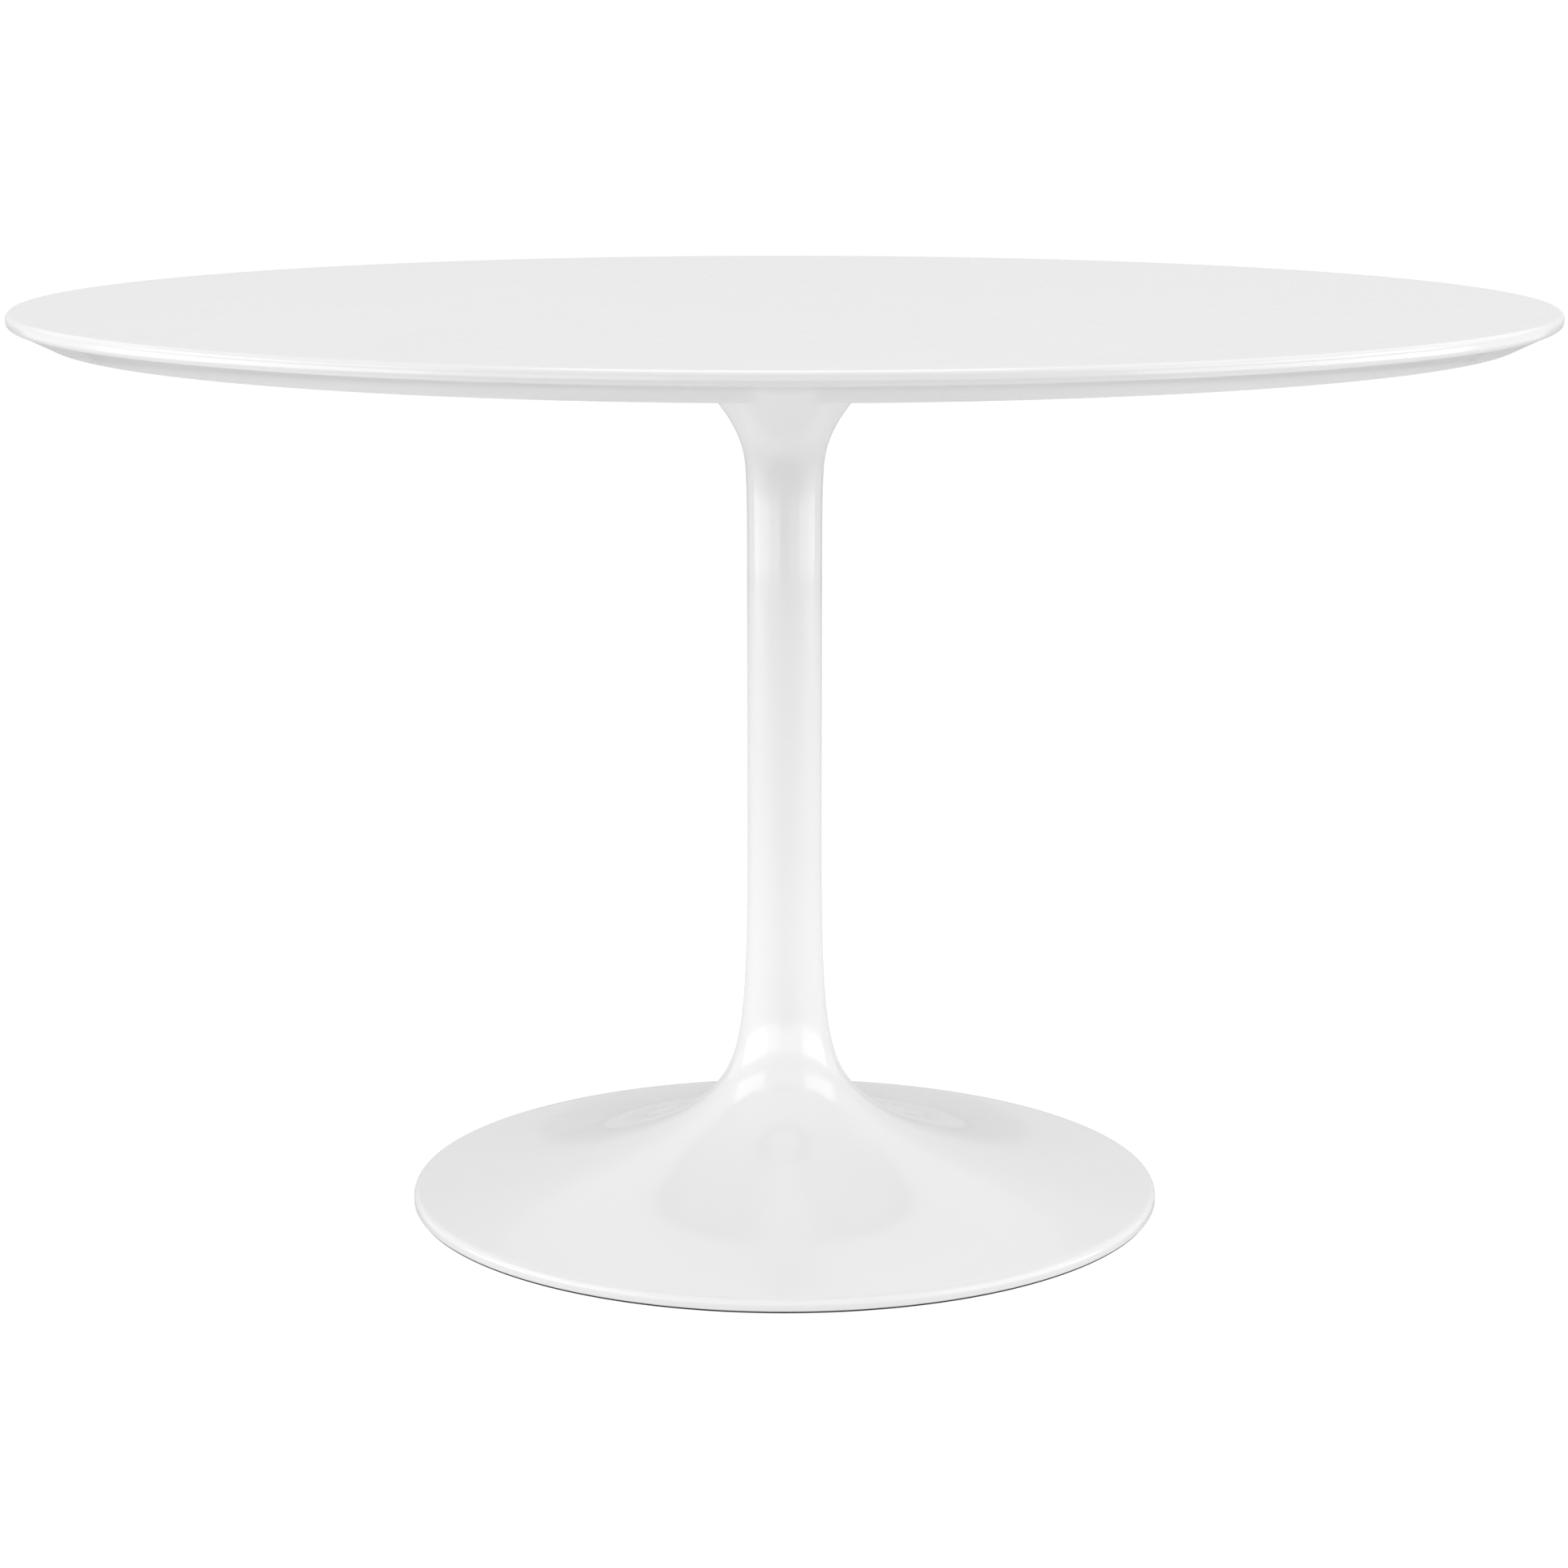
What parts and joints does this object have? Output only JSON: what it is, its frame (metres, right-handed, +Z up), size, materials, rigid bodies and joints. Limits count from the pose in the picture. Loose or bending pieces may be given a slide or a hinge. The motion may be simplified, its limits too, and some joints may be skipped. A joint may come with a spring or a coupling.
{
  "type": "round pedestal table",
  "caption": "Round dining table: a thin lacquered board with a bevelled edge on a white trumpet-shaped cast pedestal with a slim column and a broad weighted foot.",
  "frame": {"origin": "centre of the base on the floor", "axes": "+Z up along the column's axis; the table is round, so +X and +Y are any two horizontal directions at right angles, with the two locating pins on the X axis"},
  "size_m": [1.204, 1.204, 0.73],
  "materials": {
    "board_lacquer": "gloss",
    "pedestal_lacquer": "gloss",
    "black_powder_coat": "satin",
    "zinc_plated_steel": "satin",
    "insert_brass": "satin",
    "ballast_iron": "matte",
    "ring_rubber": "matte"
  },
  "bodies": {
    "root": {"table_top": "board_lacquer", "threaded_inserts": "insert_brass", "mounting_plate": "black_powder_coat", "plate_screws": "zinc_plated_steel", "plate_washers": "zinc_plated_steel", "plate_hub": "black_powder_coat", "locating_pins": "zinc_plated_steel", "pedestal": "pedestal_lacquer", "tie_rod": "zinc_plated_steel", "bottom_washer": "zinc_plated_steel", "spring_washer": "zinc_plated_steel", "bottom_nut": "zinc_plated_steel", "ballast_disc_lower": "ballast_iron", "ballast_disc_upper": "ballast_iron", "ballast_screws": "zinc_plated_steel", "foot_ring": "ring_rubber"}
  },
  "joints": []
}
